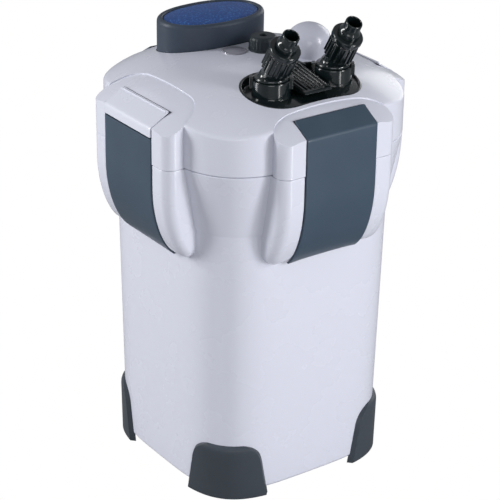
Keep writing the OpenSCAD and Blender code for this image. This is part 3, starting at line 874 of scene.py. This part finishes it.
@dataclass
class Clamp:
    """One clamp: a curled panel with a sloping top, flanges, hook and hinge barrels."""

    form: Form
    bay: Bay
    body: str
    node: str
    capped: bool = False
    bow: float = 3.2
    split: float = 367.4
    all_up: float = 500.0

    def face(self, inset: float, bottom: float) -> list[tuple[float, float]]:
        """The outer line of the panel from its toe to its back edge, moved in by inset."""
        f = self.form
        out = f.clamp_face - inset
        line = [(out - f.curl(z), z) for z in (bottom + (322 - bottom) * i / 22 for i in range(23))]
        crest = f.plate_front - inset * 0.6
        line += [(out, 345.0), (out, 366.0), (out, crest - 3.2)]
        line += [(out - 0.25, crest - 1.5), (out - 0.95, crest - 0.25), (out - 2.1, crest + 0.75)]
        end = crest + f.slope * (out - f.plate_back) - inset * 0.2
        back = f.plate_back + inset * 0.2
        return line + list(zip(evenly(out - 2.1, back, 5), evenly(crest + 0.75, end, 5)))

    def panel(self, depth: float, low_z: float, high_z: float, sink: float) -> Solid:
        """Pull the panel across the bay.

        Args:
            depth: wall thickness.
            low_z: height of the lower edge.
            high_z: height where the panel stops.
            sink: how far its face lies under the clamp's outer face.

        Returns:
            The panel's mesh.
        """
        f = self.form
        half = f.clamp_half
        across = [(-half, 1.0), (-half + 0.3, 0.3), (-half + 1.0, 0.0)]
        across += [(t, 0.0) for t in evenly(1.0 - half, half - 1.0, 20)] + [(half - 0.3, 0.3), (half, 1.0)]
        rings = []
        for t, inset in across:
            rest = self.bow * (1 - (t / half) ** 4) if low_z < 300 else 0.0
            bottom = low_z + rest + inset
            outer = [(n, z) for n, z in self.face(sink + inset, bottom) if z <= high_z]
            inner = [(n, z) for n, z in self.face(sink + depth - inset * 0.5, bottom) if z <= high_z]
            if low_z >= 300:
                outer = [(n, z) for n, z in outer if z >= low_z + inset]
                inner = [(n, z) for n, z in inner if z >= low_z + inset]
                outer.insert(0, (f.clamp_face - sink - inset, low_z + inset))
                inner.insert(0, (f.clamp_face - sink - depth, low_z + inset))
            count = min(len(outer), len(inner))
            kept = slice(-count, None) if low_z >= 300 else slice(count)
            outer, inner = outer[kept], inner[kept]
            rings.append([self.bay.at(t, n, z) for n, z in outer + inner[::-1]])
        bm = skin(rings)
        soften(bm, 0.6, 50, 2)
        return bm

    def workings(self) -> Solid:
        """The hook, flanges and hinge barrels behind the panel."""
        f = self.form
        parts = [block(Vector((40, 12.5, 7.4)), Vector((0, 130.4, 317.4)))]
        for side in (-1, 1):
            back = f.clamp_face - 2.6
            line = [(120.7, 262.4)] + [(back - f.curl(z), z) for z in (264, 276, 288, 300, 312, 322)]
            line += [(back, 373.0), (128.2, 373.0), (128.2, 310.0)]
            rings = [[Vector((side * (f.clamp_half - t), n, z)) for n, z in line] for t in (0.4, 2.6)]
            flange = skin(rings)
            soften(flange, 0.5, 50, 2)
            parts.append(flange)
            barrel = lathe([(0, -6.4), (2.6, -6.4), (3.1, -5.9), (3.1, 5.9), (2.6, 6.4), (0, 6.4)], 32)
            parts.append(moved(barrel, Matrix.Translation((side * 32.6, f.pivot_out, f.pivot_up)) @ ALONG_X))
        return moved(join(parts), turned(self.bay.value))

    def build(self) -> None:
        """Make the clamp's pieces."""
        f, name = self.form, self.bay.name.lower()
        panels = [("panel", (3.0, f.clamp_low, self.all_up, 0.0), CLAMP, (self.node,))]
        if self.capped:
            panels = [("panel", (3.0, f.clamp_low, self.split, 0.5), CLAMP, (self.node,)),
                      ("crown", (1.6, self.split + 0.5, self.all_up, 0.0), HEAD, (f"clamp_cap_{name}",)),
                      ("bridge", (0.9, 364.0, 374.0, 3.4), CLAMP, ())]
        for kind, sizes, finish, nodes in panels:
            settle(self.panel(*sizes), f"clamp_{kind}_{name}", self.body, finish, nodes)
        if self.capped:
            thick, half = 2.2, f.clamp_half - 1.6
            ends = [self.bay.at(t, f.plate_back + 1.4, 388.6) for t in (-half, half)]
            run = ends[1] - ends[0]
            size = Vector((max(abs(run.x), thick), max(abs(run.y), thick), 1.6))
            settle(block(size, (ends[0] + ends[1]) / 2, 0.75), f"clamp_ridge_{name}", self.body, HEAD)
        settle(self.workings(), f"clamp_workings_{name}", self.body, CLAMP)


# ---- the top's fittings
@dataclass
class Primer:
    """The oval push cap with its speckled pad."""

    centre: Vector = field(default_factory=lambda: middle("prime_cap"))
    half: Vector = field(default_factory=lambda: (high("prime_cap") - low("prime_cap")) / 2)
    top: float = high("prime_cap").z
    skirt: float = low("prime_cap").z

    def loop(self, inset: float, z: float) -> Points:
        """The cap's outline moved in by inset, at height z."""
        return self.stand(oval(self.half.x - inset, self.half.y - inset), z)

    def stand(self, outline: Points, z: float) -> Points:
        """An outline moved over the cap's middle, at height z."""
        return [p + Vector((self.centre.x, self.centre.y, z)) for p in outline]

    def build(self) -> None:
        """Make the cap and the pad."""
        t = self.top
        rings = [(3.0, self.skirt), (0.4, self.skirt), (0.1, self.skirt + 0.6), (0.0, t - 12), (0.0, t - 4.2),
                 (0.18, t - 2.9), (0.7, t - 1.5), (1.6, t - 0.5), (2.8, t), (4.2, t - 0.1), (5.1, t - 0.6),
                 (5.6, t - 1.5), (5.8, t - 3.6), (20.0, t - 3.6)]
        settle(skin([self.loop(i, z) for i, z in rings]), "primer_cap", "primer", PRIMER, ("prime_cap",))
        rings = [(9.0, t - 3.5), (6.1, t - 3.5), (6.0, t - 2.6), (6.25, t - 1.7), (6.9, t - 1.2)]
        loops = [self.loop(i, z) for i, z in rings]
        edge = 6.9
        for i in range(1, 13):
            share = 1 - i / 12.3
            z = t - 1.2 + 3.6 * (1 - share ** 2) ** 0.85
            loops.append(self.stand(oval((self.half.x - edge) * share, (self.half.y - edge) * share), z))
        settle(skin(loops), "primer_pad_dome", "primer", PAD, ("prime_pad",))


@dataclass
class TopFittings:
    """The lamp cap, indicator lens and cord gland."""

    def build(self) -> None:
        """Make the three fittings."""
        at = middle("uv_cap")
        base, top = 402.5, high("uv_cap").z
        radius, centre = 23.6, top - 23.6
        profile = [(0, base), (20.2, base), (20.6, base + 0.5), (20.6, base + 10), (20.45, base + 17),
                   (20.0, base + 21)]
        profile += [(radius * sin(a), centre + radius * cos(a)) for a in
                    (radians(k) for k in (52, 46, 40, 34, 28, 22, 16, 10, 5))]
        profile += [(0, top)]
        settle(moved(lathe(profile, 96), stood(at)), "lamp_cap", "base", LAMP_CAP, ("uv_cap",), 50)
        at, top = middle("indicator_lens"), high("indicator_lens").z
        lens = lathe([(0, 402), (12, 402), (12, top - 0.5), (11.7, top - 0.1), (11.0, top + 0.05),
                      (10.4, top - 0.2), (9.9, top - 0.2), (7, top + 0.3), (3.5, top + 0.6),
                      (0, top + 0.7)], 72)
        settle(moved(lens, stood(at)), "indicator_window", "base", LENS, ("indicator_lens",))
        at, top = middle("cord_gland"), high("cord_gland").z
        gland = Skin(96)
        ribbed = [(14.0, 404.0, 0), (14.0, 408.6, 0), (13.2, 409.2, 0), (13.4, 410.0, 1),
                  (13.4, top - 3.6, 1), (13.0, top - 2.6, 0.6), (12.4, top - 1.2, 0),
                  (11.4, top - 0.2, 0), (10.4, top, 0),
                  (4.4, top, 0), (3.7, top - 0.7, 0), (3.6, top - 18, 0)]
        for r, z, rib in ribbed:
            gland.ring([Vector((at.x, at.y, z)) + p * (1 + rib * 0.028 * cos(24 * TAU * i / 96))
                        for i, p in enumerate(circle(r, 96))])
        settle(gland.bm, "cord_boot", "base", GLAND, ("cord_gland",), 45)


@dataclass
class ValveBlock:
    """The recessed tray, its two sockets and the ribbed shut-off lever."""

    form: Form
    y: float = -71.0
    half_y: float = 34.0
    socket_top: float = 412.5
    hub_y: float = -46.5
    hub_z: float = 405.5

    def tray(self) -> None:
        """Make the oval tray, whose rim follows the dome."""
        f = self.form
        x, half_x = middle("valve_tray").x, (high("valve_tray").x - low("valve_tray").x) / 2
        floor = low("inlet_socket").z
        outside = [(3.0, -3.0), (0.6, -2.8), (0.3, -2.2)]
        rim = [(0.3, -2.0), (0.0, 0.15), (0.25, 0.42), (0.9, 0.5), (1.7, 0.35), (2.2, -0.2), (2.5, -1.6)]
        dish = [(2.7, 1.6), (3.4, 0.5), (4.6, 0.05)] + [(flat, 0.0) for flat in (6.0, 12.0, 20.0, 28.0, 32.5)]
        loops = []
        for inset, z in outside + rim + dish:
            loop = [p + Vector((x, self.y, 0)) for p in stadium(half_x - inset, self.half_y - inset)]
            if (inset, z) in rim:
                loops.append(raised(loop, lambda p: f.dome(p) + z))
            else:
                loops.append(raised(loop, lambda p: min(floor + z, f.dome(p) - 1.5)))
        bores = []
        for name in ("inlet", "outlet"):
            bore = lathe([(0, 380), (15.5, 380), (15.5, 400.5), (0, 400.5)], 48)
            bores.append(moved(bore, stood(middle(f"{name}_ball"))))
        settle(carve(skin(loops), join(bores)), "valve_dish", "base", VALVE, ("valve_tray",), 40)

    def socket(self, name: str) -> None:
        """Make one socket with its lugs."""
        node = f"{name}_socket"
        at = middle(f"{name}_ball")
        base, top = low(node).z, self.socket_top
        ring = lathe([(13.0, base - 2), (17.9, base - 2), (17.9, base + 0.8), (17.5, base + 1.4),
                      (17.5, top - 1.3), (17.2, top - 0.4), (16.4, top), (14.2, top), (13.4, top - 0.4),
                      (13.0, top - 1.2), (13.0, base - 2)], 96)
        parts = [moved(ring, stood(at))]
        for turn in (145, 325):
            lug = block(Vector((3.8, 8.0, 11.4)), Vector((17.9, 0, base + 11.9)), 0.8)
            parts.append(moved(lug, stood(at) @ turned(turn)))
        settle(join(parts), f"{name}_socket_ring", "base", VALVE, (node,), 40)

    def lever(self) -> None:
        """Make the ribbed lever and its hub."""
        x, front = middle("valve_lever").x, low("valve_lever").y
        hub_y, hub_z = self.hub_y, self.hub_z

        def slab(half: float, line: Sequence[tuple[float, float]], at: float) -> Solid:
            bm = skin([[Vector((at + s * half, y, z)) for y, z in line] for s in (-1, 1)])
            soften(bm, min(0.7, half * 0.45), 30, 3)
            return bm

        plate = [(hub_y, hub_z + 5.2), (hub_y, hub_z - 4.2), (front + 2, 399.9), (front, 401.4),
                 (front + 2, 403.2)]
        parts = [slab(15.0, plate, x)]
        for i in range(-3, 4):
            line = [(hub_y, hub_z + 7.0), (hub_y, hub_z), (-92.0, 402.0), (-95.0, 403.0), (-93.0, 405.0)]
            parts.append(slab(0.95, line, x + i * 4.5))
        hub = lathe([(0, -15.8), (5.2, -15.8), (6.0, -15.0), (6.0, 15.0), (5.2, 15.8), (0, 15.8)], 48)
        parts.append(moved(hub, Matrix.Translation((x, hub_y, hub_z)) @ ALONG_X))
        settle(join(parts), "shutoff_lever", "lever", VALVE, ("valve_lever",), 40)
        for side in (-1, 1):
            ear = block(Vector((2.8, 12.0, 14.0)), Vector((x + side * 18.5, hub_y, 404.0)), 0.9)
            settle(ear, f"lever_ear_{'left' if side < 0 else 'right'}", "base", VALVE)

    def build(self) -> None:
        """Make the valve block."""
        self.tray()
        self.socket("inlet")
        self.socket("outlet")
        self.lever()


@dataclass
class HoseUnion:
    """One union: a leaning elbow, a ribbed lock nut and a stepped hose nozzle."""

    name: str
    lean: float = 31.0
    bend_z: float = 413.5
    y: float = -72.0

    def leaned(self) -> Matrix:
        """Turns +Z from the bend's middle into the nozzle's axis."""
        x = middle(f"{self.name}_ball").x
        return Matrix.Translation((x, self.y, self.bend_z)) @ turned(self.lean, "X")

    def elbow(self) -> None:
        """Pull a tube up out of the socket and over into the lean."""
        x = self.leaned().translation.x
        foot = [(-13.0, 12.9), (-1.0, 12.9), (-0.6, 15.6), (0.0, 16.0), (1.2, 16.0), (1.7, 15.6), (2.0, 13.0)]
        rings = [[Vector((x, self.y, self.bend_z + up)) + p for p in circle(r, 72)] for up, r in foot]
        for k in range(7):
            share = k / 6
            turn = turned(self.lean * share, "X")
            at = Vector((x, self.y - 1.2 * share, self.bend_z + 2.4)) + turn @ Vector((0, 0, 2.0 * share))
            rings.append([at + turn @ p for p in circle(12.6 - 1.6 * share, 72)])
        lean = self.leaned()
        for along, r in ((9.0, 11.2), (11.4, 11.2), (12.0, 10.6), (38.2, 10.6), (38.3, 8.1), (20.0, 8.0)):
            rings.append([lean @ (p + Vector((0, 0, along))) for p in circle(r, 72)])
        settle(skin(rings), f"{self.name}_bend", f"{self.name}_union", VALVE, (f"{self.name}_elbow",), 40)

    def nut(self) -> None:
        """Make the ribbed lock nut with its wider collar."""
        ribs = 18
        count = ribs * 8
        section = [(12.4, 11.0, 0), (12.5, 12.0, 0), (13.0, 12.7, 0.2), (13.8, 12.9, 1), (31.5, 12.7, 1),
                   (32.6, 12.6, 0.3), (33.4, 12.7, 0), (34.0, 13.9, 0), (34.5, 14.5, 0), (35.1, 14.7, 0),
                   (38.9, 14.7, 0), (39.6, 14.3, 0), (40.0, 13.6, 0), (40.0, 10.2, 0), (39.4, 9.9, 0),
                   (20.0, 9.9, 0)]
        made = Skin(count)
        for along, r, rib in section:
            ring = []
            for i, p in enumerate(circle(r, count)):
                wave = max(0.0, cos(ribs * TAU * i / count)) ** 0.5
                ring.append(p * (1 + rib * 1.45 * wave / r) + Vector((0, 0, along)))
            made.ring(ring)
        settle(moved(made.bm, self.leaned()), f"{self.name}_nut_ring", f"{self.name}_nut", VALVE,
               (f"{self.name}_lock_nut",), 42)

    def nozzle(self) -> None:
        """Spin the stepped nozzle."""
        profile = [(6.4, 36), (9.8, 38.4), (9.9, 44.6), (9.6, 45.6), (9.0, 46.4), (8.5, 47.6), (8.15, 48.8),
                   (8.0, 50.0), (8.0, 54.9), (7.8, 55.6), (7.3, 56.0), (6.9, 56.0), (6.5, 55.6), (6.4, 54.8),
                   (6.4, 36)]
        tail = moved(lathe(profile, 72), self.leaned())
        settle(tail, f"{self.name}_hose_tail", f"{self.name}_union", VALVE, (f"{self.name}_nozzle",), 40)

    def build(self) -> None:
        """Make the union's pieces."""
        self.elbow()
        self.nut()
        self.nozzle()


# ---- frame parts, stage and camera
def dress_frame() -> None:
    """Give every CAD part that still shows the finish of its slot."""
    by_slot = {finish.slot: finish for finish in FINISHES}
    for part in frame["record"]["subparts"]:
        node = frame["nodes"][part["node"]]
        finish = by_slot[part["material_slot"]]
        if not node.material_slots:
            node.data.materials.append(None)
        for holder in node.material_slots:
            holder.material = finish.material()
        LOG.info("%s wears %s", node.name, finish.name)


@dataclass
class Studio:
    """Floor, lights and camera."""

    eye: Vector = field(default_factory=lambda: Vector((-0.97933, -1.37026, 0.99039)))
    yaw: float = -35.55
    pitch: float = 24.95
    roll: float = 0.913
    lens: float = 136.27
    ambient: float = 0.32
    paper: Colour = (0.3, 0.3, 0.31)

    def camera(self) -> None:
        """Stand the camera at the viewing place."""
        az, p, roll = (radians(a) for a in (self.yaw, self.pitch, self.roll))
        look = Vector((-sin(az) * cos(p), cos(az) * cos(p), -sin(p)))
        right = Vector((cos(az), sin(az), 0))
        up = right.cross(look)
        right, up = cos(roll) * right + sin(roll) * up, cos(roll) * up - sin(roll) * right
        data = bpy.data.cameras.new("camera")
        data.sensor_width, data.lens = 36.0, self.lens
        data.clip_start, data.clip_end = 0.05, 60.0
        obj = placed("camera", data)
        obj.matrix_world = Matrix.Translation(self.eye) @ Matrix((right, up, -look)).transposed().to_4x4()
        bpy.context.scene.camera = obj

    def light(self, name: str, place: Vector, target: Vector, size: tuple[float, float], power: float,
              colour: Colour = (1.0, 1.0, 1.0)) -> None:
        """Hang one soft box.

        Args:
            name: the light's name.
            place: where it hangs, in metres.
            target: what it faces.
            size: its width and height.
            power: watts.
            colour: light colour.
        """
        data = bpy.data.lights.new(name, "AREA")
        data.shape = "RECTANGLE"
        data.size, data.size_y = size
        data.energy = power
        data.color = colour
        obj = placed(name, data)
        obj.location = place
        obj.visible_camera = False
        obj.rotation_mode = "QUATERNION"
        obj.rotation_quaternion = (target - place).to_track_quat("-Z", "Y")

    @staticmethod
    def seen_and_felt(g: Graph, seen: Socket, felt: Socket, end: Socket) -> None:
        """Join two shaders: one that is looked at and one that lights the object."""
        path, mix = g.new("ShaderNodeLightPath"), g.new("ShaderNodeMixShader")
        for socket, value in zip(mix.inputs, (path.outputs["Is Camera Ray"], felt, seen)):
            g.feed(value, socket)
        g.feed(mix.outputs[0], end)

    def floor(self) -> None:
        """Lay the pale floor."""
        bm = bmesh.new()
        bmesh.ops.create_grid(bm, x_segments=2, y_segments=2, size=12.0)
        obj = placed("studio_floor", stored(bm, "studio_floor"))
        made = bpy.data.materials.new("studio_floor")
        made.use_nodes = True
        g, nodes = Graph(made.node_tree), made.node_tree.nodes
        shader = nodes["Principled BSDF"]
        shader.inputs["Base Color"].default_value = (*self.paper, 1)
        shader.inputs["Roughness"].default_value = 0.9
        glow = g.new("ShaderNodeEmission")
        glow.inputs["Strength"].default_value = 1.0
        self.seen_and_felt(g, glow.outputs[0], shader.outputs[0], nodes["Material Output"].inputs["Surface"])
        obj.data.materials.append(made)

    def world(self) -> None:
        """A plain surround: white to look at, dim as a light."""
        world = bpy.data.worlds.new("studio")
        bpy.context.scene.world = world
        world.use_nodes = True
        g, nodes = Graph(world.node_tree), world.node_tree.nodes
        felt = nodes["Background"]
        felt.inputs["Color"].default_value = (0.93, 0.95, 1.0, 1)
        felt.inputs["Strength"].default_value = self.ambient
        seen = g.new("ShaderNodeBackground")
        seen.inputs["Color"].default_value = (1, 1, 1, 1)
        seen.inputs["Strength"].default_value = 1.05
        self.seen_and_felt(g, seen.outputs[0], felt.outputs[0], nodes["World Output"].inputs["Surface"])

    def build(self) -> None:
        """Set the stage."""
        bpy.context.scene.view_settings.view_transform = "Standard"
        aim = Vector((0, 0, 0.24))
        self.camera()
        self.floor()
        self.world()
        self.light("left_box", Vector((-1.75, 1.25, 1.0)), aim, (0.5, 1.5), 42)
        self.light("front_box", Vector((0.9, -2.05, 0.85)), aim, (0.4, 1.5), 30, (0.99, 0.99, 1.0))
        self.light("low_fill", Vector((-1.2, -1.8, 0.35)), aim, (1.3, 0.8), 8.5, (0.98, 0.98, 1.0))
        self.light("back_box", Vector((2.2, 0.8, 0.8)), aim, (1.4, 1.2), 10)
        self.light("low_strip", Vector((0.12, -0.75, 0.2)), Vector((0.0, -0.07, 0.36)), (0.06, 0.36), 0.6)


def main() -> None:
    """Build the filter in order, then light it."""
    logging.basicConfig(level=logging.INFO, format="%(name)s %(message)s")
    Studio().build()
    form = Form()
    dress_frame()
    Canister(form).build()
    Head(form).build()
    for bay, capped in ((Bay.FRONT, False), (Bay.BACK, False), (Bay.LEFT, True), (Bay.RIGHT, True)):
        name = bay.name.lower()
        Clamp(form, bay, f"{name}_clamp", f"clamp_{name}", capped).build()
    Primer().build()
    TopFittings().build()
    ValveBlock(form).build()
    for name in ("inlet", "outlet"):
        HoseUnion(name).build()


if __name__ == "__main__":
    main()
